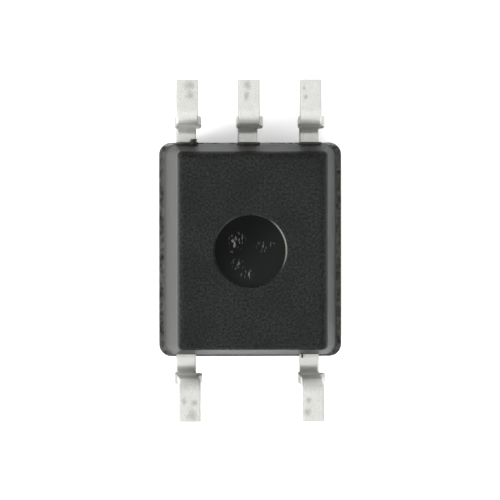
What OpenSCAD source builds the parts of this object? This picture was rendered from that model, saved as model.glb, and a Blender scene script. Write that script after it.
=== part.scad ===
// Five-lead optocoupler in a small-outline moulded body, for surface mounting.
// It lies on its back: the marked top is at z = 0 and the soldering feet point up, along +Z.
// +Y is the side with three leads, -Y the side with two, and X runs along the rows of leads.
// All sizes are in millimetres.

/* [Body] */
// Width of the body along the rows of leads, at the parting line
body_w = 3.76; // [3.7:0.02:3.9]
// Length of the body from one row of leads to the other, at the parting line
body_l = 4.41; // [4.35:0.01:4.5]
// Height of the body
body_h = 2.5; // [2.4:0.05:2.7]
// Draft of the two walls without leads, in degrees
side_draft = 9.9; // [8:0.1:11]
// Draft of the two walls that the leads leave through, in degrees
end_draft = 5.8; // [4:0.1:7]
// Radius of the upright corners at the parting line
corner_r = 0.25; // [0.2:0.01:0.3]
// Radius of the upright corners at the flat faces
face_corner_r = 0.07; // [0.06:0.01:0.1]
// Rounding of the edges of the marked face
edge_r = 0.04; // [0.02:0.01:0.06]
// Rounding of the board-side face along its -X edge
left_edge_r = 0.15; // [0.05:0.01:0.25]
// Rounding of the board-side face along its +X edge
right_edge_r = 0.21; // [0.05:0.01:0.25]
// Rounding of the board-side face above the two leads
near_edge_r = 0.07; // [0.05:0.01:0.25]
// Rounding of the board-side face above the three leads
far_edge_r = 0.18; // [0.05:0.01:0.25]
// Step at the parting line, where the board-side half is narrower, on each side wall
ledge_x = 0.1; // [0.05:0.01:0.12]
// The same step at the two walls with leads
ledge_y = 0.03; // [0.02:0.01:0.05]

/* [Marks of the mould] */
// Diameter of the round ejector mark on the board side
ejector_d = 1.5; // [1.2:0.05:1.6]
// Depth of the ejector mark
ejector_depth = 0.05; // [0.03:0.01:0.08]
// Diameter of the pin-one dimple on the marked top
index_d = 0.5; // [0.4:0.05:0.7]
// Depth of the pin-one dimple
index_depth = 0.06; // [0.03:0.01:0.1]
// Width of the chip of flash left on the edge of the ground lead
flash_w = 0.14; // [0.1:0.01:0.2]
// How far the chip of flash reaches over the lead
flash_over = 0.11; // [0.05:0.01:0.15]
// How far the chip of flash stands out of the wall
flash_out = 0.05; // [0.02:0.01:0.1]

/* [Leads] */
// Distance between neighbouring lead positions
pitch = 1.27; // [1.27]
// Width of a lead
lead_w = 0.41; // [0.36:0.01:0.44]
// Thickness of the lead frame's sheet
lead_t = 0.2; // [0.15:0.01:0.2]
// Span over the tips of the feet, from row to row
lead_span = 7.04; // [6.9:0.02:7.2]
// Height of the feet beyond the body's board-side face
stand_off = 0.1; // [0.05:0.01:0.2]
// Distance from the middle of the body to where the shoulder starts to bend
shoulder_y = 2.36; // [2.32:0.01:2.45]
// Angle of the leg to the board, in degrees
leg_angle = 86; // [80:1:88]
// Inside radius of the bend at the shoulder
shoulder_r = 0.2; // [0.1:0.01:0.22]
// Inside radius of the bend at the heel
heel_r = 0.1; // [0.08:0.01:0.15]
// Sideways reach of the dam-bar stub on the -X side of a lead
stub_left = 0.05; // [0.02:0.01:0.06]
// Sideways reach of the dam-bar stub on the +X side, as the cutting punch sat a little off
stub_right = 0.1; // [0.04:0.01:0.12]
// Height at which the stubs end on the leg
stub_top = 1.8; // [1.6:0.05:1.9]

/* [Lead frame inside the body] */
// How far the lead frame and the ejector sit off the middle of the body, along X
frame_x = -0.055; // [-0.08:0.005:0]
// How far the two chip carriers are offset from the plane of the leads, one up and one down
pad_offset = 0.55; // [0.5:0.01:0.58]
// Width of the carrier for the light detector
detector_pad_w = 1.2; // [1.1:0.05:1.25]
// Length of the carrier for the light detector
detector_pad_l = 1.1; // [1:0.05:1.15]
// Width of the carrier for the light-emitting diode
led_pad_w = 0.8; // [0.75:0.05:0.9]
// Length of the carrier for the light-emitting diode
led_pad_l = 0.74; // [0.7:0.01:0.8]

/* [Chips and bonds] */
// Width and length of the light-emitting diode chip
led_chip = 0.3; // [0.25:0.01:0.32]
// Height of the light-emitting diode chip
led_chip_h = 0.18; // [0.12:0.01:0.18]
// Width of the detector chip
detector_chip_w = 1; // [0.9:0.05:1]
// Length of the detector chip
detector_chip_l = 0.9; // [0.8:0.05:0.9]
// Height of the detector chip
detector_chip_h = 0.2; // [0.15:0.01:0.2]
// Thickness of the silver-filled glue under a chip
glue_t = 0.02; // [0.015:0.005:0.03]
// How far the glue squeezes out around a chip
glue_edge = 0.03; // [0.02:0.01:0.03]
// Radius of the silicone dome over the light-emitting diode
dome_r = 0.34; // [0.32:0.01:0.35]
// Diameter of the gold bond wires
wire_d = 0.03; // [0.025:0.005:0.03]

/* [Inner mould] */
// Width of the white inner mould at its parting line
core_w = 2.6; // [2.5:0.05:2.7]
// Length of the white inner mould at its parting line
core_l = 2.9; // [2.8:0.05:3]
// Height of the white inner mould
core_h = 1.6; // [1.55:0.05:1.65]

/* [Hidden] */

$fn = 48;
hull_fn = 32; // sides of the round corners inside a hull
sliver = 0.001; // thickness of the plates that a hull is stretched between

mid_z = body_h / 2; // parting line of the body and middle plane of the leads
foot_z = body_h + stand_off; // soldering plane
led_pad_z = mid_z - pad_offset + lead_t / 2; // face of the carrier under the diode
detector_pad_z = mid_z + pad_offset - lead_t / 2; // face of the carrier over the detector
led_top = led_pad_z + glue_t + led_chip_h; // bonded face of the diode
detector_top = detector_pad_z - glue_t - detector_chip_h; // bonded face of the detector

// Side view of a lead, as Y and Z, measured outwards from the middle of the body
heel_out_r = heel_r + lead_t;
leg_rise = foot_z - (mid_z + lead_t / 2) - (shoulder_r + heel_out_r) * (1 - cos(leg_angle));
leg_run = leg_rise / tan(leg_angle);
shoulder_c = [shoulder_y, mid_z + lead_t / 2 + shoulder_r];
heel_c = [
    shoulder_y + (shoulder_r + heel_out_r) * sin(leg_angle) + leg_run,
    foot_z - heel_out_r,
];
tip_y = lead_span / 2;

// Stations of the lead frame inside the body, measured outwards from its middle
joggle_out = 1.3; // the step between the planes starts
joggle_in = 0.95; // and ends
inner_end = -0.6; // no carrier reaches further than this past the middle
slope = atan(pad_offset / (joggle_out - joggle_in));
mitre = lead_t / 2 * tan(slope / 2);
entry_x = 0.95; // where the two outer leads enter the inner mould
entry_half = 0.2; // half the width of an outer lead there
jog_start = 1.95; // the outer leads turn inwards between these two stations
jog_end = 1.6;
jog_skew = 0.07; // shift of the two edges of the jog that keeps its width
detector_bridge = [-0.1, 0.3]; // stretch of the ground lead that joins the detector's carrier
led_bridge = [-0.2, 0.1]; // stretch of the cathode lead that joins the diode's carrier
supply_end = 0.56; // inner ends of the leads that end in a bond post
anode_end = 0.46;
output_end = 0.72;
output_head = [0.5, 0.24]; // width and length of the wider head of the middle lead
stub_start = 75; // angle before the vertical, round the shoulder's bend, at which a stub starts

core_corner_r = 0.15; // corners of the inner mould at its parting line and at its faces
core_face_r = 0.08;
core_edge_r = 0.03;
index_at = [1.2, -1.5]; // the pin-one dimple, over the anode lead's corner
flash_z = [-0.08, 0.17]; // bottom and top of the chip of flash, from the middle plane

ball_r = 0.04; // ball of a bond on the chip
ball_h = 0.025;
stitch_r = 0.045; // flattened end of a bond on the lead
stitch_h = 0.012;
wire_arch = 0.56; // radius of a wire's arch over its span

// Bond points, in the lead frame's own X and Y
led_bond = [0.03, -0.02, led_top];
anode_bond = [0.92, -0.68, led_pad_z];
supply_pad = [0.4, 0.3, detector_top];
supply_bond = [0.95, 0.76, detector_pad_z];
output_pad = [0.05, 0.36, detector_top];
output_bond = [0.02, 0.84, detector_pad_z];
ground_pad = [-0.4, 0.26, detector_top];
ground_bond = [-0.94, 0.6, detector_pad_z];

mould_black = [0.16, 0.17, 0.17];
core_white = [0.9, 0.89, 0.84];
tin = [0.8, 0.8, 0.77];
gold = [0.85, 0.65, 0.2];
glue_silver = [0.62, 0.62, 0.6];

// Points of an arc about c from angle a to angle b
function arc(c, r, a, b, steps = 10) =
    [for (i = [0:steps]) let (w = a + (b - a) * i / steps) c + r * [cos(w), sin(w)]];

// Side view of a whole lead. step is 1 where the carrier lies towards the board and -1 where it lies away
function lead_side(step) = concat(
    [
        [inner_end, mid_z + step * pad_offset + lead_t / 2],
        [joggle_in + step * mitre, mid_z + step * pad_offset + lead_t / 2],
        [joggle_out + step * mitre, mid_z + lead_t / 2],
    ],
    arc(shoulder_c, shoulder_r, -90, leg_angle - 90),
    arc(heel_c, heel_out_r, 90 + leg_angle, 90),
    [[tip_y, foot_z], [tip_y, foot_z - lead_t]],
    arc(heel_c, heel_r, 90, 90 + leg_angle),
    arc(shoulder_c, shoulder_r + lead_t, leg_angle - 90, -90),
    [
        [joggle_out - step * mitre, mid_z - lead_t / 2],
        [joggle_in - step * mitre, mid_z + step * pad_offset - lead_t / 2],
        [inner_end, mid_z + step * pad_offset - lead_t / 2],
    ]
);

// Plan of the outer edge of an outer lead, from its tip in to station end
function outer_edge(side, end) = [
    [side * (pitch + lead_w / 2), tip_y],
    [side * (pitch + lead_w / 2), jog_start - jog_skew],
    [side * (entry_x + entry_half), jog_end - jog_skew],
    [side * (entry_x + entry_half), end],
];

// Plan of its inner edge, from station end out to its tip
function inner_edge(side, end) = [
    [side * (entry_x - entry_half), end],
    [side * (entry_x - entry_half), jog_end + jog_skew],
    [side * (pitch - lead_w / 2), jog_start + jog_skew],
    [side * (pitch - lead_w / 2), tip_y],
];

// Plan of an outer lead that ends in a bond post
function post_plan(side, end) = concat(outer_edge(side, end), inner_edge(side, end));

// Plan of an outer lead that carries a chip on a pad of w by l, joined to it by a bridge
function carrier_plan(side, w, l, bridge) = concat(
    outer_edge(side, bridge[0]),
    [
        [side * w / 2, bridge[0]],
        [side * w / 2, -l / 2],
        [-side * w / 2, -l / 2],
        [-side * w / 2, l / 2],
        [side * w / 2, l / 2],
        [side * w / 2, bridge[1]],
    ],
    inner_edge(side, bridge[1])
);

// Plan of the middle lead, which widens to a head of w by l for its bond
function middle_plan(end, w, l) = [
    [lead_w / 2, tip_y],
    [lead_w / 2, end + l],
    [w / 2, end + l],
    [w / 2, end],
    [-w / 2, end],
    [-w / 2, end + l],
    [-lead_w / 2, end + l],
    [-lead_w / 2, tip_y],
];

// A child drawn in the side view's Y and Z, made a sheet from x0 to x1
module across(x0, x1) {
    translate([x0, 0, 0]) rotate([90, 0, 90]) linear_extrude(height = x1 - x0) children();
}

// The stubs left where the dam bar was cut away, around the shoulder's bend and up the leg
module dam_stubs(x) {
    reach = 2 * (shoulder_r + lead_t); // clear of the sheet on its outer side
    window = [
        shoulder_c,
        shoulder_c + reach * [cos(stub_start), -sin(stub_start)],
        shoulder_c + reach * [1, -1],
        [shoulder_c[0] + reach, stub_top],
        [shoulder_c[0], stub_top],
    ];
    across(x - lead_w / 2 - stub_left, x + lead_w / 2 + stub_right) intersection() {
        polygon(lead_side(1));
        polygon(window);
    }
}

// One lead on the +Y side: the side view cut to the lead's plan, with its dam-bar stubs
module lead(plan, step, x) {
    union() {
        intersection() {
            across(-body_w / 2, body_w / 2) polygon(lead_side(step));
            linear_extrude(height = foot_z + 1) polygon(plan);
        }
        dam_stubs(x);
    }
}

// Places a child made in the lead frame's own X
module on_frame() {
    translate([frame_x, 0, 0]) children();
}

module ground_lead() {
    color(tin) on_frame()
        lead(carrier_plan(-1, detector_pad_w, detector_pad_l, detector_bridge), 1, -pitch);
}

module output_lead() {
    color(tin) on_frame() lead(middle_plan(output_end, output_head[0], output_head[1]), 1, 0);
}

module supply_lead() {
    color(tin) on_frame() lead(post_plan(1, supply_end), 1, pitch);
}

module cathode_lead() {
    color(tin) on_frame() mirror([0, 1, 0])
        lead(carrier_plan(-1, led_pad_w, led_pad_l, led_bridge), -1, -pitch);
}

module anode_lead() {
    color(tin) on_frame() mirror([0, 1, 0]) lead(post_plan(1, anode_end), -1, pitch);
}

module leads() {
    ground_lead();
    output_lead();
    supply_lead();
    cathode_lead();
    anode_lead();
}

// A block standing on z = 0, centred on it
module slab(w, l, h, z) {
    translate([-w / 2, -l / 2, z]) cube([w, l, h]);
}

module led_glue() {
    color(glue_silver) on_frame()
        slab(led_chip + 2 * glue_edge, led_chip + 2 * glue_edge, glue_t, led_pad_z);
}

module led_chip() {
    color([0.75, 0.35, 0.3]) on_frame() slab(led_chip, led_chip, led_chip_h, led_pad_z + glue_t);
}

module detector_glue() {
    color(glue_silver) on_frame()
        slab(
            detector_chip_w + 2 * glue_edge, detector_chip_l + 2 * glue_edge,
            glue_t, detector_pad_z - glue_t
        );
}

module detector_chip() {
    color([0.35, 0.37, 0.45]) on_frame()
        slab(detector_chip_w, detector_chip_l, detector_chip_h, detector_top);
}

// A bond wire from point a on a chip to point b on a lead, arching up or down, with its ball and stitch
module bond_wire(a, b, up) {
    start = [0, ball_h * 0.6];
    end = [norm([b[0] - a[0], b[1] - a[1]]), up * (b[2] - a[2]) + stitch_h / 2];
    chord = norm(end - start);
    lean = atan2(end[1] - start[1], end[0] - start[0]);
    half = asin(0.5 / wire_arch);
    sink = wire_arch * chord * cos(half);
    centre = (start + end) / 2 + sink * [sin(lean), -cos(lean)];
    color(gold) translate(a) rotate([0, 0, atan2(b[1] - a[1], b[0] - a[0])])
        mirror([0, 0, up < 0 ? 1 : 0])
            union() {
                rotate([90, 0, 0]) translate([centre[0], centre[1], 0]) rotate([0, 0, 90 - half + lean])
                    rotate_extrude(angle = 2 * half) translate([wire_arch * chord, 0]) circle(d = wire_d);
                cylinder(r = ball_r, h = ball_h);
                translate([end[0], 0, end[1] - stitch_h / 2]) cylinder(r = stitch_r, h = stitch_h);
            }
}

module led_bond_wire() {
    on_frame() bond_wire(led_bond, anode_bond, 1);
}

module supply_bond_wire() {
    on_frame() bond_wire(supply_pad, supply_bond, -1);
}

module output_bond_wire() {
    on_frame() bond_wire(output_pad, output_bond, -1);
}

module ground_bond_wire() {
    on_frame() bond_wire(ground_pad, ground_bond, -1);
}

// The whole dome, before what it encloses is taken out
module dome_shape() {
    on_frame() intersection() {
        translate([0, 0, led_pad_z]) sphere(r = dome_r);
        slab(3 * dome_r, 3 * dome_r, 2 * dome_r, led_pad_z);
    }
}

module led_silicone_dome() {
    color([0.9, 0.92, 0.92, 0.5]) difference() {
        dome_shape();
        led_glue();
        led_chip();
        led_bond_wire();
    }
}

// How far an edge rounded by r has drawn in at a depth below the face
function drawn_in(depth, r) = depth < r ? r - sqrt(r * r - (r - depth) * (r - depth)) : 0;

// Half of a moulded block: w by l at z = 0, drafted up to a flat face at height h.
// The edges of that face are rounded by four radii: at -X, +X, -Y and +Y
module drafted_half(w, l, h, r, face_r, edges) {
    face_w = w - 2 * h * tan(side_draft);
    face_l = l - 2 * h * tan(end_draft);
    hull() {
        for (sx = [-1, 1], sy = [-1, 1]) {
            translate([sx * (w / 2 - r), sy * (l / 2 - r), 0]) cylinder(r = r, h = sliver, $fn = hull_fn);
            for (turn = [0, 30, 60, 90]) {
                depth = max(edges) * (1 - sin(turn));
                translate([
                    sx * (face_w / 2 - face_r - drawn_in(depth, edges[sx > 0 ? 1 : 0])),
                    sy * (face_l / 2 - face_r - drawn_in(depth, edges[sy > 0 ? 3 : 2])),
                    h - depth - sliver,
                ]) cylinder(r = face_r, h = sliver, $fn = hull_fn);
            }
        }
    }
}

// The white inner mould, before its contents are taken out
module core_block() {
    on_frame() translate([0, 0, mid_z]) union() {
        for (flip = [0, 1]) mirror([0, 0, flip])
            drafted_half(
                core_w, core_l, core_h / 2, core_corner_r, core_face_r,
                [core_edge_r, core_edge_r, core_edge_r, core_edge_r]
            );
    }
}

// The black outer body, before its contents are taken out
module body_block() {
    union() {
        translate([0, 0, mid_z]) mirror([0, 0, 1])
            drafted_half(
                body_w, body_l, mid_z, corner_r, face_corner_r, [edge_r, edge_r, edge_r, edge_r]
            );
        translate([0, 0, mid_z])
            drafted_half(
                body_w - 2 * ledge_x, body_l - 2 * ledge_y, mid_z, corner_r, face_corner_r,
                [left_edge_r, right_edge_r, near_edge_r, far_edge_r]
            );
        translate([
            frame_x - pitch + lead_w / 2 - flash_over,
            body_l / 2 - flash_w,
            mid_z + flash_z[0],
        ]) cube([flash_w, flash_w + flash_out, flash_z[1] - flash_z[0]]);
    }
}

module inner_mould() {
    color(core_white) difference() {
        core_block();
        leads();
        led_glue();
        dome_shape();
        led_bond_wire();
        detector_glue();
        detector_chip();
        supply_bond_wire();
        output_bond_wire();
        ground_bond_wire();
    }
}

module outer_mould() {
    color(mould_black) difference() {
        body_block();
        core_block();
        leads();
        translate([frame_x, 0, body_h - ejector_depth]) cylinder(d = ejector_d, h = 1);
        translate([index_at[0], index_at[1], -1]) cylinder(d = index_d, h = 1 + index_depth);
    }
}

outer_mould();
inner_mould();
anode_lead();
cathode_lead();
ground_lead();
output_lead();
supply_lead();
led_chip();
led_glue();
led_bond_wire();
led_silicone_dome();
detector_chip();
detector_glue();
supply_bond_wire();
output_bond_wire();
ground_bond_wire();
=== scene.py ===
from math import atan, atan2, cos, pi, radians, sin, tan

import bmesh
import bpy
from mathutils import Matrix, Vector


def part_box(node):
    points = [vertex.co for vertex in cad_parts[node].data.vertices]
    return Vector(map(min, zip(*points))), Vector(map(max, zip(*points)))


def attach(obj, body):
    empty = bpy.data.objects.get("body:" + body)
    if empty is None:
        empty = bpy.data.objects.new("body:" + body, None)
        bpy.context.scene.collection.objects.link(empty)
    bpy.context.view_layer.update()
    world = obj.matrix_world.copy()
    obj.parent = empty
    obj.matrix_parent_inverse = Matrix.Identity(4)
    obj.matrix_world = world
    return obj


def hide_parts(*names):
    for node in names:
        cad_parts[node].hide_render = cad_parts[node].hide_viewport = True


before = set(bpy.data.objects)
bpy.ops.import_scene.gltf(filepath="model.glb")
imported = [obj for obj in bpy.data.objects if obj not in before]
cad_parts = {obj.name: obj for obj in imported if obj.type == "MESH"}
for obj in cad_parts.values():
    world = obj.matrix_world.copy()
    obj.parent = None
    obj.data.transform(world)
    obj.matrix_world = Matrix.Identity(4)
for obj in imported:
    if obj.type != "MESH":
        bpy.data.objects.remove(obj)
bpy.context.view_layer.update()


# ------------------------------------------------------------------ camera
# A long lens on a copy stand, almost straight above the chip, which lies on its back. It leans
# a little to the left and towards the row of three leads, and is turned by a tenth of a degree.
chip_low, chip_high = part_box("led_chip")
frame_x = (chip_low.x + chip_high.x) / 2
foot_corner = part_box("output_lead")[1]
lens, sensor, seen_width = 1000, 36, 0.01027
lean_left, lean_far, turn = radians(2.6), radians(1.2), radians(0.1)
aim_left, aim_far = 0.00001, 0.000015
aim = Vector((frame_x - aim_left, aim_far, foot_corner.z))
toward_camera = Vector((-tan(lean_left), tan(lean_far), 1)).normalized()
right = Vector((cos(turn), -sin(turn), 0))
right = (right - right.dot(toward_camera) * toward_camera).normalized()
axes = Matrix((right, toward_camera.cross(right), toward_camera)).transposed()
camera = bpy.data.objects.new("camera", bpy.data.cameras.new("camera"))
camera.data.lens = lens
camera.data.sensor_width = sensor
camera.data.clip_start = 0.01
camera.data.clip_end = 10
camera.matrix_world = (
    Matrix.Translation(aim + toward_camera * seen_width * lens / sensor) @ axes.to_4x4()
)
bpy.context.scene.collection.objects.link(camera)
bpy.context.scene.camera = camera
bpy.context.scene.view_settings.view_transform = "Standard"


# ------------------------------------------------------------------ floor and light
# A seamless white table top under the chip, inside a white light tent that is a little dimmer on
# the far side. Three soft boxes light it: one high above the near side, a low one at the left and
# a weak one at the right.
MM = 1000


class Pattern:
    """What varies over a surface: a number, a colour or a place, for use in plain expressions."""

    def __init__(self, tree, socket):
        self.tree, self.socket = tree, socket

    def maths(self, operation, first, second):
        return self.tree.node("ShaderNodeMath", {"operation": operation}, {0: first, 1: second})

    def __add__(self, other):
        return self.maths("ADD", self, other)

    def __sub__(self, other):
        return self.maths("SUBTRACT", self, other)

    def __rsub__(self, other):
        return self.maths("SUBTRACT", other, self)

    def __mul__(self, other):
        return self.maths("MULTIPLY", self, other)

    def __pow__(self, other):
        return self.maths("POWER", self, other)

    __radd__, __rmul__ = __add__, __mul__

    def step(self, start, end):
        """0 at start and 1 at end, with a smooth change between them."""
        return self.tree.node(
            "ShaderNodeMapRange",
            {"interpolation_type": "SMOOTHSTEP"},
            {"Value": self, "From Min": start, "From Max": end},
        )


class Tree:
    """The nodes of a material or of the world, added one by one."""

    def __init__(self, nodes):
        self.nodes = nodes

    def node(self, kind, settings={}, sockets={}, output=0):
        made = self.nodes.nodes.new(kind)
        for setting, value in settings.items():
            setattr(made, setting, value)
        for socket, value in sockets.items():
            if isinstance(value, Pattern):
                self.nodes.links.new(value.socket, made.inputs[socket])
            else:
                made.inputs[socket].default_value = value
        return Pattern(self, made.outputs[output])


class Finish(Tree):
    """A surface material fed by patterns in the chip's own millimetres."""

    def __init__(self, name, **constants):
        self.material = bpy.data.materials.new(name)
        self.material.use_nodes = True
        super().__init__(self.material.node_tree)
        self.shader = self.nodes.nodes["Principled BSDF"]
        for socket, value in constants.items():
            self.shader.inputs[socket.replace("_", " ")].default_value = value
        place = self.node("ShaderNodeTexCoord", output="Object")
        self.mm = self.node("ShaderNodeMapping", {}, {"Vector": place, "Scale": (MM, MM, MM)})

    def facing(self, letter):
        """How far the surface faces along an axis, from -1 to 1."""
        way = self.node("ShaderNodeTexCoord", output="Normal")
        return self.node("ShaderNodeSeparateXYZ", {}, {"Vector": way}, letter)

    def axis(self, letter):
        return self.node("ShaderNodeSeparateXYZ", {}, {"Vector": self.mm}, letter)

    def distance(self, place):
        return self.node(
            "ShaderNodeVectorMath", {"operation": "DISTANCE"}, {0: self.mm, 1: place}, "Value"
        )

    def grain(self, per_mm, detail=2, rough=0.5, bend=0, stretch=(1, 1, 1)):
        """Cloudy noise with per_mm spots in a millimetre."""
        at = self.node("ShaderNodeMapping", {}, {"Vector": self.mm, "Scale": stretch})
        return self.node(
            "ShaderNodeTexNoise",
            {},
            {"Vector": at, "Scale": per_mm, "Detail": detail, "Roughness": rough, "Distortion": bend},
        )

    def blend(self, amount, first, second):
        """A colour between two others, by a pattern. A Mix node's colours are sockets 6, 7 and 2."""
        return self.node(
            "ShaderNodeMix", {"data_type": "RGBA"}, {0: amount, 6: first, 7: second}, 2
        )

    def bump(self, height, depth, strength=1):
        """Relief, as deep as depth where the height goes from 0 to 1."""
        return self.node(
            "ShaderNodeBump", {}, {"Height": height, "Distance": depth / MM, "Strength": strength}
        )

    def set(self, **patterns):
        for socket, pattern in patterns.items():
            self.nodes.links.new(pattern.socket, self.shader.inputs[socket.replace("_", " ")])
        return self.material


floor_drop = 0.00001
table = bmesh.new()
bmesh.ops.create_grid(table, x_segments=1, y_segments=1, size=1.5)
bmesh.ops.translate(table, vec=(0, 0, -floor_drop), verts=table.verts)
floor = bpy.data.objects.new("floor", bpy.data.meshes.new("floor"))
table.to_mesh(floor.data)
table.free()
bpy.context.scene.collection.objects.link(floor)
paper = Finish("white_table", Roughness=0.9, Emission_Color=(1, 1, 1, 1), Emission_Strength=0.25)
white_sheet = paper.blend(paper.grain(0.5), (0.93, 0.93, 0.93, 1), (0.95, 0.95, 0.95, 1))
floor.data.materials.append(paper.set(Base_Color=white_sheet))

tent_glow, far_dimming, zenith_share = 0.86, 0.15, 0.3
far_side = (0.35, 0.94, 0)
tent = bpy.data.worlds.new("tent")
tent.use_nodes = True
cloth = Tree(tent.node_tree)
way = cloth.node("ShaderNodeTexCoord", output="Generated")
far = cloth.node(
    "ShaderNodeVectorMath", {"operation": "DOT_PRODUCT"}, {0: way, 1: far_side}, "Value"
)
height = cloth.node("ShaderNodeSeparateXYZ", {}, {"Vector": way}, "Z")
glow = (1 - far.step(0.1, 0.8) * far_dimming) * (height * zenith_share + (1 - zenith_share))
background = tent.node_tree.nodes["Background"]
background.inputs["Strength"].default_value = tent_glow
tent.node_tree.links.new(glow.socket, background.inputs["Color"])
bpy.context.scene.world = tent


def soft_box(name, place, size, power):
    light = bpy.data.objects.new(name, bpy.data.lights.new(name, "AREA"))
    light.data.shape = "DISK"
    light.data.size = size
    light.data.energy = power
    light.location = place
    light.visible_glossy = False
    light.rotation_euler = Vector(place).to_track_quat("Z", "Y").to_euler()
    bpy.context.scene.collection.objects.link(light)


soft_box("top_soft_box", (0.03, -0.16, 0.4), size=0.3, power=0.7)
soft_box("left_soft_box", (-0.36, -0.16, 0.12), size=0.22, power=4.8)
soft_box("right_soft_box", (0.33, -0.12, 0.15), size=0.2, power=0.7)


# ------------------------------------------------------------------ leads
# Five strips of tinned copper alloy, stamped as one frame and formed after moulding: a carrier or
# a bond post inside the body, then shoulder, leg, heel and foot outside. The dam bar between the
# leads is punched away, which leaves a torn stub on each edge. Sizes from here on are millimetres.
pitch = 1.27
strip_w, strip_t = 0.41, 0.2
mould_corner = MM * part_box("outer_mould")[1]
mid_z = mould_corner.z / 2
foot_z, tip_y = MM * foot_corner.z, MM * foot_corner.y
middle_x = MM * frame_x
tolerance = 0.005

# The bent part outside. A leg widens towards its foot and leans a little to one side.
shoulder_y, shoulder_r, heel_r = 2.36, 0.2, 0.1
leg_angle = radians(86)
bend_steps = 20
heel_out_r = heel_r + strip_t
leg_rise = foot_z - (mid_z + strip_t / 2) - (shoulder_r + heel_out_r) * (1 - cos(leg_angle))
shoulder_z = mid_z + strip_t / 2 + shoulder_r
heel_y = shoulder_y + (shoulder_r + heel_out_r) * sin(leg_angle) + leg_rise / tan(leg_angle)
heel_z = foot_z - heel_out_r
foot_shift, foot_flare = 0.03, 0.12

# The stubs, by row (-1 near, 1 far) and by side (-1 left, 1 right), as the punch sat a little off.
stub_reach = {-1: {-1: 0.05, 1: 0.115}, 1: {-1: 0.04, 1: 0.1}}
stub_start, stub_rise = {-1: radians(62), 1: radians(40)}, radians(30)
stub_top, stub_fall, stub_rows = 1.8, 0.18, 6
stub_swelling, stub_inward = 0.35, 0.03

# The part inside: a jog to the inner mould and a step to the carrier's plane, then a bond post or
# a carrier. A carrier has a width and a length, and its bridge a start and an end along Y.
jog_start, jog_end, jog_skew, entry_x = 1.95, 1.6, 0.07, 0.95
step_out, step_in, carrier_drop = 1.3, 0.95, 0.55
mitre = strip_t / 2 * tan(atan(carrier_drop / (step_out - step_in)) / 2)
detector_carrier, detector_bridge = (1.2, 1.1), (-0.1, 0.3)
led_carrier, led_bridge = (0.8, 0.74), (-0.2, 0.1)
supply_end, anode_end, output_end, output_head_w = 0.56, 0.46, 0.72, 0.5

# Roundings of a strip's edges: wider on the side where the punch went in, least at the cut end.
wide_round, narrow_round, end_round = 0.05, 0.03, 0.012

# A lead's second finish, on the ends where it was cut out of the frame.
CUT = 1


def pull(sheet, at, offset):
    """Extends a flat sheet from the rim edge nearest to a point, and returns the new corners."""
    rims = [edge for edge in sheet.edges if edge.is_boundary or edge.is_wire]
    rim = min(rims, key=lambda edge: sum((v.co.xy for v in edge.verts), -2 * Vector(at)).length)
    made = bmesh.ops.extrude_edge_only(sheet, edges=[rim])["geom"]
    corners = [item for item in made if isinstance(item, bmesh.types.BMVert)]
    bmesh.ops.translate(sheet, verts=corners, vec=(*offset, 0))
    return corners


def skew(corners, side, amount):
    """Slides the two corners of a strip's end apart along its length, so that it keeps its width."""
    for corner, way in zip(sorted(corners, key=lambda corner: side * corner.co.x), (1, -1)):
        corner.co.y += way * amount


def shoulder_edge(x):
    sheet = bmesh.new()
    ends = [sheet.verts.new((x + side * strip_w / 2, shoulder_y, mid_z)) for side in (-1, 1)]
    sheet.edges.new(ends)
    return sheet


def outer_plan(side, end):
    """Plan of an outer lead from its shoulder to y = end, past its jog and its step."""
    sheet = shoulder_edge(side * pitch)
    corners = pull(sheet, (side * pitch, shoulder_y), (0, jog_start - shoulder_y))
    skew(corners, side, jog_skew)
    pull(sheet, (side * pitch, jog_start), (side * (entry_x - pitch), jog_end - jog_start))
    corners = pull(sheet, (side * entry_x, jog_end), (0, step_out - jog_end))
    skew(corners, side, -jog_skew)
    pull(sheet, (side * entry_x, step_out), (0, step_in - step_out))
    pull(sheet, (side * entry_x, step_in), (0, end - step_in))
    return sheet


def carrier_plan(side, width, length, bridge):
    """Plan of an outer lead with a chip carrier, joined to it by a bridge between two stations."""
    sheet = outer_plan(side, bridge[1])
    middle = sum(bridge) / 2
    pull(sheet, (side * entry_x, bridge[1]), (0, bridge[0] - bridge[1]))
    neck = entry_x - strip_w / 2
    pull(sheet, (side * neck, middle), (side * (width / 2 - neck), 0))
    pull(sheet, (side * width / 2, middle), (-side * width, 0))
    pull(sheet, (0, bridge[1]), (0, length / 2 - bridge[1]))
    pull(sheet, (0, bridge[0]), (0, -length / 2 - bridge[0]))
    return sheet


def middle_plan(end, head_width):
    """Plan of the middle lead, which widens to a head for its bond."""
    sheet = shoulder_edge(0)
    pull(sheet, (0, shoulder_y), (0, step_out - shoulder_y))
    pull(sheet, (0, step_out), (0, step_in - step_out))
    pull(sheet, (0, step_in), (0, end - step_in))
    for side in (-1, 1):
        pull(sheet, (side * strip_w / 2, (end + step_in) / 2), (side * (head_width - strip_w) / 2, 0))
    return sheet


def thicken(sheet, step):
    """Gives a plan its thickness, and steps its carrier to the board's side (1) or away (-1)."""
    for corner in sheet.verts:
        corner.co.z -= strip_t / 2
    lower = list(sheet.verts)
    made = bmesh.ops.extrude_face_region(sheet, geom=list(sheet.faces), use_keep_orig=True)["geom"]
    upper = [item for item in made if isinstance(item, bmesh.types.BMVert)]
    bmesh.ops.translate(sheet, verts=upper, vec=(0, 0, strip_t))
    for level, corners in ((-1, lower), (1, upper)):
        for corner in corners:
            if min(abs(corner.co.y - step_out), abs(corner.co.y - step_in)) < tolerance:
                corner.co.y += level * step * mitre
    for corner in sheet.verts:
        if corner.co.y < (step_out + step_in) / 2:
            corner.co.z += step * carrier_drop
    bmesh.ops.recalc_face_normals(sheet, faces=sheet.faces)


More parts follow.
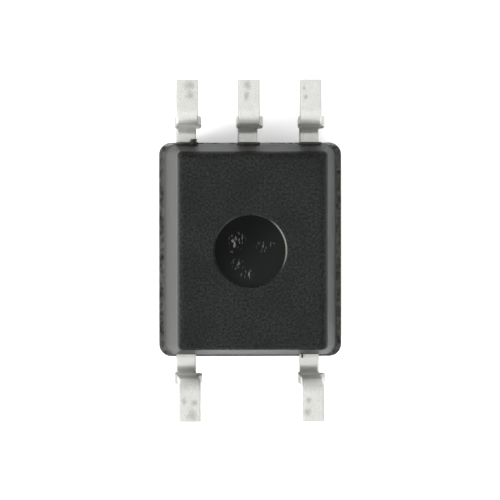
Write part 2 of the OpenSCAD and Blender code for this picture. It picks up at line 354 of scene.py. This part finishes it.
def grow(strip, end, moved):
    """Keeps the new end of a strip after an extrusion, and drops the wall left inside it."""
    if end.is_valid:
        bmesh.ops.delete(strip, geom=[end], context="FACES")
    return [item for item in moved if isinstance(item, bmesh.types.BMFace)][0]


def bend(strip, end, x, y, z, angle):
    made = bmesh.ops.spin(
        strip, geom=[end], cent=(x, y, z), axis=(1, 0, 0), angle=angle, steps=bend_steps
    )["geom_last"]
    return grow(strip, end, made)


def draw(strip, end, offset):
    made = bmesh.ops.extrude_face_region(strip, geom=[end])["geom"]
    corners = [item for item in made if isinstance(item, bmesh.types.BMVert)]
    bmesh.ops.translate(strip, verts=corners, vec=offset)
    return grow(strip, end, made)


def form_leg(sheet, x):
    """Shoulder, leg, heel and foot, with rows of corners on the leg where the stubs fade out."""
    def at_shoulder(face):
        return all(abs(corner.co.y - shoulder_y) < tolerance for corner in face.verts)

    end = [face for face in sheet.faces if at_shoulder(face)][0]
    end = bend(sheet, end, x, shoulder_y, shoulder_z, leg_angle)
    along = Vector((0, cos(leg_angle), sin(leg_angle)))
    for row in range(stub_rows + 1):
        level = stub_top - stub_fall * (1 - row / stub_rows)
        end = draw(sheet, end, along * tolerance)
        for corner in end.verts:
            corner.co += along * (level - corner.co.z) / along.z
    heel_start = Vector((0, heel_y, heel_z))
    heel_start += heel_out_r * Vector((0, -sin(leg_angle), cos(leg_angle)))
    end = draw(sheet, end, along * tolerance)
    for corner in end.verts:
        corner.co += along * (heel_start - corner.co).dot(along)
    end = bend(sheet, end, x, heel_y, heel_z, -leg_angle)
    end = draw(sheet, end, (0, tip_y - heel_y, 0))
    end.material_index = CUT


def round_edges(form, edges, radius, segments):
    sharp_angle = 0.9
    sharp = [
        edge for edge in edges
        if len(edge.link_faces) == 2 and edge.calc_face_angle() > sharp_angle
    ]
    bmesh.ops.bevel(
        form, geom=sharp, offset=radius, segments=segments, profile=0.5, affect="EDGES",
        material=-1, clamp_overlap=True,
    )


def leave_stub(sheet, x, side, radius, reach, begin):
    """The rounded stub of the dam bar on one edge, from the shoulder's bend up the leg."""
    for corner in sheet.verts:
        arm = Vector((corner.co.y - shoulder_y, corner.co.z - shoulder_z))
        border = (side * (corner.co.x - x) - strip_w / 2 + radius) / radius
        if border < tolerance or arm.x < 0 or corner.co.z > stub_top:
            continue
        around = min(leg_angle, atan2(arm.x, -arm.y))
        start = min(1, max(0, around - begin) / stub_rise)
        end = min(1, (stub_top - corner.co.z) / stub_fall)
        swell = border * (1 - (1 - start) ** 2) ** 0.5 * (1 - (1 - end) ** 2) ** 0.5
        outward = Vector((sin(around), -cos(around)))
        offset = arm.dot(outward) - shoulder_r - strip_t / 2
        corner.co.x += side * reach * swell
        corner.co.yz += outward * (offset * stub_swelling - stub_inward) * swell


def trim_edges(sheet, x, row):
    """Rounds the edges outside the body, leaves the stubs, and widens and leans the leg."""
    def on_cut(edge):
        return any(face.material_index == CUT for face in edge.link_faces)

    def outside(edge, side):
        beside = all((corner.co.x - x) * side > 0 for corner in edge.verts)
        reaches_out = max(corner.co.y for corner in edge.verts) > jog_start + 2 * jog_skew
        return beside and reaches_out and not on_cut(edge)

    for side in (-1, 1):
        radius = wide_round if side == -row else narrow_round
        round_edges(sheet, [edge for edge in sheet.edges if outside(edge, side)], radius, 4)
        leave_stub(sheet, x, side, radius, stub_reach[row][side], stub_start[row])
    round_edges(sheet, [edge for edge in sheet.edges if on_cut(edge)], end_round, 2)
    for corner in sheet.verts:
        up = max(0, (corner.co.z - shoulder_z) / (foot_z - shoulder_z))
        corner.co.x += (corner.co.x - x) * foot_flare * up - row * foot_shift * up


def place_lead(sheet, row):
    if row < 0:
        bmesh.ops.scale(sheet, verts=sheet.verts, vec=(1, -1, 1))
    bmesh.ops.translate(sheet, verts=sheet.verts, vec=(middle_x, 0, 0))
    bmesh.ops.recalc_face_normals(sheet, faces=sheet.faces)


# Smudges on the soldering faces of the feet: the middle and the half sizes of each.
smudges = (
    ((-1.28, 3.2), (0.07, 0.06)), ((-1.3, 3.4), (0.08, 0.07)), ((-0.14, 3.18), (0.04, 0.07)),
    ((-0.12, 3.4), (0.06, 0.06)), ((1.08, 3.16), (0.03, 0.04)), ((1.05, 3.34), (0.02, 0.03)),
    ((-1.21, -3.13), (0.05, 0.05)), ((-1.25, -3.37), (0.08, 0.09)), ((-1.42, -3.09), (0.04, 0.05)),
    ((1.14, -3.07), (0.04, 0.05)), ((1.12, -3.32), (0.05, 0.06)),
)


def tinned():
    """Dull matt tin: fine grain, clouded, painted shade on the faces turned left and right and in a
    band where the heel mirrors the black body, painted light on the near legs, and a smudge or two on
    each foot."""
    tin = Finish("tinned_copper", Metallic=0.8)
    bright, dull, pitted = (0.80, 0.797, 0.77, 1), (0.73, 0.727, 0.70, 1), (0.64, 0.636, 0.61, 1)
    smudged, bend_band_shade, near_legs_light_colour = (0.42, 0.417, 0.39, 1), (0.5, 0.497, 0.475, 1), (0.94, 0.937, 0.91, 1)
    fine = tin.grain(38, detail=3, rough=0.6)
    cloud = tin.grain(3.5, detail=3, bend=0.4)
    ragged = tin.grain(11, detail=4, rough=0.75) * 3
    colour = tin.blend(cloud.step(0.3, 0.7), dull, bright)
    colour = tin.blend(fine.step(0.3, 0.62), pitted, colour)
    for (x, y), (half_x, half_y) in smudges:
        place = tin.node(
            "ShaderNodeMapping", {"vector_type": "TEXTURE"},
            {"Vector": tin.mm, "Location": (x, y, foot_z), "Scale": (half_x, half_y, 1)},
        )
        away = tin.node("ShaderNodeVectorMath", {"operation": "LENGTH"}, {0: place}, "Value")
        colour = tin.blend((away + ragged).step(3.6, 1.5) * 0.75, colour, smudged)

    below = foot_z - tin.axis("Z")
    # Painted light: the near row's legs and shoulders are painted paler; the same mask makes them a
    # little rougher.
    near_legs_lit = (0 - tin.axis("Y")).step(2.2, 2.25) * below.step(0.02, 0.15)
    colour = tin.blend(near_legs_lit, colour, near_legs_light_colour)
    # Painted shade: a dark band round each leg at about 2.6 mm out, where the heel's bend mirrors the
    # black body.
    bend_band_y, wander = 2.6, 0.3
    off_line = tin.axis("Y") ** 2 + cloud * wander - (bend_band_y**2 + wander / 2)
    colour = tin.blend((off_line**2).step(0.17**2, 0.06**2) * 0.7, colour, bend_band_shade)

    # Painted shade: faces turned left or right are painted darker, and darker still low on the leg
    # towards the body.
    low = below.step(0.65, 0.8)
    left_side_shade = tin.blend(low, (0.46, 0.457, 0.435, 1), (0.38, 0.378, 0.36, 1))
    right_side_shade = tin.blend(low, (0.68, 0.676, 0.65, 1), (0.56, 0.557, 0.535, 1))
    colour = tin.blend((0 - tin.facing("X")).step(0.3, 0.8), colour, left_side_shade)
    colour = tin.blend(tin.facing("X").step(0.35, 0.85), colour, right_side_shade)

    relief = tin.bump(fine * 0.6 + tin.grain(18, detail=2) * 0.4, 0.005, 0.6)
    formed = (tin.axis("Y") ** 2).step(2.4**2, 2.5**2)
    rough = fine * 0.1 + cloud * 0.06 + formed * 0.1 + near_legs_lit * 0.12 + 0.27
    return tin.set(Base_Color=colour, Roughness=rough, Normal=relief)


def sheared():
    """The cut ends: copper alloy with tin smeared over it by the punch."""
    cut = Finish("sheared_copper", Metallic=1.0)
    streak = cut.grain(14, detail=3, stretch=(1, 1, 0.25))
    smear = streak.step(0.38, 0.6)
    colour = cut.blend(smear, (0.62, 0.36, 0.22, 1), (0.72, 0.70, 0.66, 1))
    relief = cut.bump(streak, 0.008, 0.7)
    return cut.set(Base_Color=colour, Roughness=smear * -0.1 + 0.45, Normal=relief)


def make_piece(name, form, node, slot, *finishes):
    """Turns a form in millimetres into a finished piece that stands for a solid of the same shape."""
    mesh = bpy.data.meshes.new(name)
    form.to_mesh(mesh)
    form.free()
    for finish in finishes:
        mesh.materials.append(finish)
    mesh.polygons.foreach_set("use_smooth", [True] * len(mesh.polygons))
    mesh.set_sharp_from_angle(angle=radians(50))
    piece = bpy.data.objects.new(name, mesh)
    bpy.context.scene.collection.objects.link(piece)
    even = piece.modifiers.new("even_shading", "WEIGHTED_NORMAL")
    even.weight = 100
    even.keep_sharp = True
    shaded = piece.evaluated_get(bpy.context.evaluated_depsgraph_get())
    piece.data = bpy.data.meshes.new_from_object(shaded)
    piece.data.transform(Matrix.Scale(1 / MM, 4))
    piece.modifiers.clear()
    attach(piece, "root")
    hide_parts(node)


def solid_copy(form):
    """A closed copy of a form, to cut with."""
    mesh = bpy.data.meshes.new("cutter")
    form.to_mesh(mesh)
    cutter = bpy.data.objects.new("cutter", mesh)
    bpy.context.scene.collection.objects.link(cutter)
    return cutter


# Each lead's plan, the way its carrier steps, its place in the row, and its row.
lead_finishes = tinned(), sheared()
lead_forms = {
    "ground_lead": (carrier_plan(-1, *detector_carrier, detector_bridge), 1, -pitch, 1),
    "output_lead": (middle_plan(output_end, output_head_w), 1, 0, 1),
    "supply_lead": (outer_plan(1, supply_end), 1, pitch, 1),
    "cathode_lead": (carrier_plan(-1, *led_carrier, led_bridge), -1, -pitch, -1),
    "anode_lead": (outer_plan(1, anode_end), -1, pitch, -1),
}
lead_cutters = []
for node, (sheet, step, x, row) in lead_forms.items():
    thicken(sheet, step)
    form_leg(sheet, x)
    trim_edges(sheet, x, row)
    place_lead(sheet, row)
    lead_cutters.append(solid_copy(sheet))
    make_piece(node + "_strip", sheet, node, "tinned_lead", *lead_finishes)


# ------------------------------------------------------------------ chips and their glue
# The diode is a little block of red-tinted crystal, and the detector a slice of silicon with metal
# tracks. Each is set on its carrier in glue that is filled with silver flakes.
def paint(node, finish):
    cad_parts[node].data.materials.clear()
    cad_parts[node].data.materials.append(finish)


crystal = Finish("led_crystal", Roughness=0.25, IOR=2.4)
layers = crystal.grain(30, stretch=(0.1, 0.1, 1))
tint = crystal.blend(layers, (0.35, 0.06, 0.05, 1), (0.55, 0.16, 0.12, 1))
paint("led_chip", crystal.set(Base_Color=tint))

silicon = Finish("detector_silicon", Metallic=0.6)
tracks = silicon.node(
    "ShaderNodeTexBrick",
    {"offset": 0.37, "squash": 0.7},
    {"Vector": silicon.mm, "Scale": 9, "Mortar Size": 0.012},
    1,
)
circuit = silicon.blend(tracks, (0.10, 0.11, 0.16, 1), (0.62, 0.60, 0.55, 1))
polish = silicon.grain(12) * 0.2 + 0.12
paint("detector_chip", silicon.set(Base_Color=circuit, Roughness=polish))

for node in ("led_glue", "detector_glue"):
    glue = Finish(node + "_silver", Metallic=0.8)
    flakes = glue.grain(80, detail=3)
    colour = glue.blend(flakes.step(0.4, 0.6), (0.42, 0.42, 0.40, 1), (0.75, 0.74, 0.70, 1))
    relief = glue.bump(flakes, 0.004)
    paint(node, glue.set(Base_Color=colour, Roughness=flakes * 0.3 + 0.35, Normal=relief))


# ------------------------------------------------------------------ bond wires
# Four gold wires, each 0.03 mm thick and drawn through a die, with a ball welded to the chip and a
# flat stitch pressed on to the lead.
gold = Finish("gold_wire", Metallic=1.0)
drawn = gold.grain(60, detail=2, stretch=(0.2, 0.2, 1))
bright_gold = gold.blend(drawn, (0.90, 0.62, 0.20, 1), (1.0, 0.76, 0.34, 1))
gold.set(Base_Color=bright_gold, Roughness=drawn * 0.15 + 0.15)
for node in ("led_bond_wire", "supply_bond_wire", "output_bond_wire", "ground_bond_wire"):
    paint(node, gold.material)


# ------------------------------------------------------------------ silicone drop
# A clear soft drop over the diode and the start of its wire. A needle lays it on before moulding,
# and it keeps the hard epoxy off the crystal.
silicone = Finish("clear_silicone", IOR=1.41, Transmission_Weight=0.9)
haze = silicone.grain(6, detail=2)
clear = silicone.blend(haze, (0.90, 0.93, 0.93, 1), (0.97, 0.98, 0.98, 1))
paint("led_silicone_dome", silicone.set(Base_Color=clear, Roughness=haze * 0.1 + 0.05))


# ------------------------------------------------------------------ inner mould
# White epoxy that lets light through, moulded round both carriers in a first shot. It joins diode
# and detector.
white = Finish("white_epoxy", Subsurface_Weight=0.2, Subsurface_Scale=0.0004)
powder = white.grain(40, detail=3)
cream = white.blend(powder, (0.78, 0.77, 0.70, 1), (0.87, 0.86, 0.80, 1))
relief = white.bump(powder, 0.003)
paint("inner_mould", white.set(Base_Color=cream, Roughness=powder * 0.15 + 0.45, Normal=relief))


# ------------------------------------------------------------------ outer mould
# The body of black filled epoxy, moulded in one shot in a two-part mould: drafted walls from a
# parting line with a small step, a sand-blasted matt skin, and the polished print of the ejector
# pin. The white mould and the leads fill what is cut out of it.
side_draft, end_draft = radians(9.9), radians(5.8)
parting_y = 2.205
corner_r, board_corner_r, top_corner_r = 0.25, 0.1, 0.05

# Roundings of the edges of the two flat faces: left, right, near and far.
board_edges, top_edges = (0.15, 0.21, 0.07, 0.18), (0.04, 0.04, 0.04, 0.04)

# The step at the parting line: its width, the shares of it that are lip and fillet, their heights.
ledge = Vector((0.1, 0.03))
lip, lip_drop, fillet, fillet_rise = 0.5, 0.02, 0.35, 0.02

# The print of the ejector pin on the board side, and the pin-one dimple of the marked top.
ejector_r, ejector_depth = 0.75, 0.05
dimple_r, dimple_depth, dimple_at = 0.25, 0.06, (1.2, -1.5)
rim_round = 0.022

# The inner mould, which is hollowed out.
core_half, core_half_h = Vector((1.3, 1.45)), 0.8
core_corner_r, core_face_corner_r, core_edges = 0.15, 0.06, (0.03, 0.03, 0.03, 0.03)

# The body's second finish, on the floors of the prints.
POLISHED = 1


def ring(form, low, high, radius, z):
    """One level of a block: the rim of a rectangle with round corners."""
    before = set(form.verts)
    corners = bmesh.ops.create_grid(form, x_segments=1, y_segments=1, size=1)["verts"]
    for corner in corners:
        corner.co.x = (high if corner.co.x > 0 else low).x
        corner.co.y = (high if corner.co.y > 0 else low).y
        corner.co.z = z
    bmesh.ops.bevel(
        form, geom=corners, offset=radius, segments=10, profile=0.5, affect="VERTICES", material=-1
    )
    around = [corner for corner in form.verts if corner not in before]
    bmesh.ops.delete(form, geom=list(around[0].link_faces), context="FACES_ONLY")
    return [edge for edge in form.edges if edge.verts[0] not in before]


def join_levels(form, levels):
    for lower, upper in zip(levels, levels[1:]):
        bmesh.ops.bridge_loops(form, edges=lower + upper)


def rounded_in(depth, radius):
    """How far a rounded edge has drawn in at a depth below the face."""
    return radius - (radius**2 - (radius - depth) ** 2) ** 0.5 if depth < radius else 0


def face_levels(form, half, height, corner_radius, edges, way):
    """Levels round the face of a drafted half, at a height above the parting line (way 1) or below
    it (-1). Its edges are rounded by four radii: left, right, near (-Y) and far (+Y)."""
    face = half - height * Vector((tan(side_draft), tan(end_draft)))
    levels = []
    for turned in range(0, 91, 10):
        depth = max(edges) * (1 - sin(radians(turned)))
        left, right, near, far = (rounded_in(depth, edge) for edge in edges)
        low, high = Vector((left, near)) - face, face - Vector((right, far))
        levels.append(ring(form, low, high, corner_radius, mid_z + way * (height - depth)))
    return levels


def pin_mark(form, x, y, z, radius, depth, way):
    """A round recess, turned from its profile, and the edges of its rim."""
    profile = [(radius + rim_round, 0)]
    for turned in (30, 60, 90):
        back = rim_round * (1 - sin(radians(turned)))
        profile.append((radius + back, rim_round * (1 - cos(radians(turned)))))
    for turned in (0, 30, 60, 90):
        back = rim_round * (1 - cos(radians(turned)))
        profile.append((radius - back, depth - rim_round * (1 - sin(radians(turned)))))
    profile.append((0, depth))
    before = set(form.faces)
    points = [form.verts.new((x + out, y, z - way * down)) for out, down in profile]
    lines = [form.edges.new(pair) for pair in zip(points, points[1:])]
    bmesh.ops.spin(
        form, geom=points + lines, cent=(x, y, z), axis=(0, 0, 1), angle=2 * pi, steps=96,
        use_merge=True,
    )
    made = [face for face in form.faces if face not in before]
    bmesh.ops.remove_doubles(form, verts=list({v for face in made for v in face.verts}), dist=1e-5)
    made = [face for face in form.faces if face not in before]
    floor_z, flat = z - way * depth, 0.001
    for face in made:
        if abs(face.calc_center_median().z - floor_z) < flat:
            face.material_index = POLISHED
    return [edge for face in made for edge in face.edges if edge.is_boundary]


def cut_out(form, tools, operation):
    """The form with other closed forms taken out of it, or joined to it."""
    body = solid_copy(form)
    for tool in tools:
        modifier = body.modifiers.new("cut", "BOOLEAN")
        modifier.operation = operation
        modifier.solver = "EXACT"
        modifier.object = tool
    shaped = body.evaluated_get(bpy.context.evaluated_depsgraph_get()).to_mesh()
    form.clear()
    form.from_mesh(shaped)
    bmesh.ops.triangulate(form, faces=[face for face in form.faces if len(face.verts) > 4])
    for used in [body, *tools]:
        bpy.data.objects.remove(used)


def resin_chip(x, y, z, size):
    """A lumpy bit of resin where a lead leaves the mould: broken flash, or a dark block of painted
    shade.
    """
    waves, unevenness = 9, 0.09
    chip = bmesh.new()
    bmesh.ops.create_cube(chip, size=1)
    bmesh.ops.subdivide_edges(chip, edges=chip.edges, cuts=2, use_grid_fill=True)
    for corner in chip.verts:
        at = corner.co * waves
        corner.co += unevenness * Vector(
            (sin(at.y + 2 * at.z), sin(at.z + 2 * at.x), sin(at.x + 2 * at.y))
        )
    bmesh.ops.scale(chip, verts=chip.verts, vec=size)
    bmesh.ops.translate(chip, verts=chip.verts, vec=(middle_x + x, y, z))
    cutter = solid_copy(chip)
    chip.free()
    return cutter


def black_block():
    """The body without its hollow: top half, rounded lip and fillet of the step, board half."""
    body = bmesh.new()
    half = Vector((mould_corner.x, parting_y))
    under = face_levels(body, half, mid_z, top_corner_r, top_edges, -1)
    over = []
    for turned in (0, 22, 45, 67, 90):
        rim = half - ledge * lip * (1 - cos(radians(turned)))
        over.append(ring(body, -rim, rim, corner_r, mid_z - lip_drop * (1 - sin(radians(turned)))))
    for turned in (0, 30, 60, 90):
        rim = half - ledge * (1 - fillet * (1 - sin(radians(turned))))
        z = mid_z + fillet_rise * (1 - cos(radians(turned)))
        over.append(ring(body, -rim, rim, corner_r, z))
    over += face_levels(body, half - ledge, mid_z, board_corner_r, board_edges, 1)
    join_levels(body, under[::-1] + over)
    for rim, mark in (
        (over[-1], pin_mark(body, middle_x, 0, 2 * mid_z, ejector_r, ejector_depth, 1)),
        (under[-1], pin_mark(body, *dimple_at, 0, dimple_r, dimple_depth, -1)),
    ):
        bmesh.ops.triangle_fill(body, use_beauty=True, edges=rim + list(set(mark)))
    bmesh.ops.recalc_face_normals(body, faces=body.faces)
    return body


def white_block():
    """The form of the inner mould, to hollow the body with."""
    core = bmesh.new()
    levels = face_levels(core, core_half, core_half_h, core_face_corner_r, core_edges, -1)[::-1]
    levels.append(ring(core, -core_half, core_half, core_corner_r, mid_z))
    levels += face_levels(core, core_half, core_half_h, core_face_corner_r, core_edges, 1)
    join_levels(core, levels)
    bmesh.ops.contextual_create(core, geom=levels[0])
    bmesh.ops.contextual_create(core, geom=levels[-1])
    bmesh.ops.translate(core, verts=core.verts, vec=(middle_x, 0, 0))
    bmesh.ops.recalc_face_normals(core, faces=core.faces)
    return core


# Broken flash beside the ground and anode leads; dark blocks over the far row's roots are painted
# shade.
body = black_block()
beside_lead = pitch - 0.15
flash, sliver, root_shade_block = (0.13, 0.13, 0.27), (0.03, 0.1, 0.19), (0.43, 0.2, 0.2)
resin = [
    resin_chip(-beside_lead, parting_y, mid_z + 0.04, flash),
    resin_chip(beside_lead, 0.02 - parting_y, mid_z + 0.05, sliver),
]
for _, _, x, row in lead_forms.values():
    if row > 0:
        resin.append(resin_chip(x, parting_y - 0.106, mid_z + 0.045, root_shade_block))
cut_out(body, resin, "UNION")
cut_out(body, [solid_copy(white_block()), *lead_cutters], "DIFFERENCE")


def matt_epoxy():
    """Sand-blasted black epoxy: painted light on the left wall and the far lip, rough flash at the
    parting line, painted paler on the far side, and a painted highlight on the rim of the pin's
    print."""
    epoxy = Finish("matt_black_epoxy", IOR=1.24)
    pit, grit = (0.004, 0.005, 0.0045, 1), (0.021, 0.0225, 0.0215, 1)
    deep, left_wall_light, far_lip_light = (0.004, 0.005, 0.005, 1), (0.05, 0.051, 0.048, 1), (0.1, 0.1, 0.093, 1)
    near_flash, far_flash_light, rim_highlight_colour = (0.06, 0.06, 0.055, 1), (0.3, 0.3, 0.28, 1), (0.1, 0.1, 0.092, 1)
    fine = epoxy.grain(22, detail=3, rough=0.65)
    cloud = epoxy.grain(1.2, detail=3)
    colour = epoxy.blend(fine.step(0.3, 0.75), pit, grit)
    colour = epoxy.blend(cloud.step(0.35, 0.7) * 0.35, colour, deep)
    # Painted light: faces turned to the left are painted paler, in cloudy patches.
    scuff_and_lit_wall = (0 - epoxy.facing("X")).step(0.5, 0.95)
    colour = epoxy.blend(scuff_and_lit_wall * (cloud * 0.3 + 0.3), colour, left_wall_light)
    # Painted light: the far edge of the body, its lip included, is painted paler.
    colour = epoxy.blend(epoxy.axis("Y").step(2.15, 2.18) * 0.8, colour, far_lip_light)

    # Rough flash along the parting line; on the far side it is painted much paler, as painted light
    # against the shade there.
    parting = ((epoxy.axis("Z") - mid_z) ** 2).step(0.05**2, 0.015**2)
    torn = epoxy.grain(9, detail=3, rough=0.7)
    flash = epoxy.blend(epoxy.axis("Y").step(2.1, 2.17), near_flash, far_flash_light)
    colour = epoxy.blend(parting * torn.step(0.3, 0.65), colour, flash)

    # Painted highlight: a pale crescent on the rim of the pin's print, strongest on its right and
    # weaker at the far left.
    around = epoxy.distance((middle_x, 0, 2 * mid_z))
    rim = ((around - ejector_r + 0.004) ** 2).step(0.02**2, 0.005**2)
    across, along = epoxy.axis("X") - middle_x, epoxy.axis("Y")
    rim_highlight = (across + along * 0.25).step(0.52, 0.78) + (along - across).step(0.9, 1.08) * 0.35
    colour = epoxy.blend(rim * rim_highlight, colour, rim_highlight_colour)

    relief = epoxy.bump(fine * 0.7 + parting * torn * 3, 0.005, 0.8)
    return epoxy.set(Base_Color=colour, Roughness=fine * 0.12 + cloud * 0.1 + 0.38, Normal=relief)


# Scuffs in the print of the pin: the middle of each from the pin's own, and its radius.
scuffs = (
    (-0.27, 0.2, 0.17), (-0.36, 0.02, 0.08), (0.25, 0.08, 0.12), (0.45, 0.12, 0.06),
    (-0.25, -0.28, 0.13), (-0.06, -0.5, 0.13),
)


def pin_face():
    """The smooth dark print of the ejector pin, with a few pale scuffs."""
    epoxy = Finish("pin_polished_epoxy", IOR=1.18)
    dark, less_dark = (0.0005, 0.0006, 0.0006, 1), (0.007, 0.008, 0.0075, 1)
    scuff_and_lit_wall = (0.092, 0.092, 0.083, 1)
    fine = epoxy.grain(30, detail=3)
    scratch = epoxy.grain(15, detail=2, stretch=(1.7, 0.6, 1)).step(0.52, 0.71)
    lit = (epoxy.axis("X") - epoxy.axis("Y")).step(-0.7, 0.6) * 0.7 + fine * 0.3
    colour = epoxy.blend(lit, dark, less_dark)
    for x, y, radius in scuffs:
        away = epoxy.distance((middle_x + x, y, 2 * mid_z - ejector_depth))
        inside = away.step(radius * 1.2, radius * 0.6)
        colour = epoxy.blend(inside * scratch, colour, scuff_and_lit_wall)
    relief = epoxy.bump(fine, 0.002, 0.5)
    return epoxy.set(Base_Color=colour, Roughness=fine * 0.1 + 0.2, Normal=relief)


make_piece("moulded_body", body, "outer_mould", "black_epoxy", matt_epoxy(), pin_face())
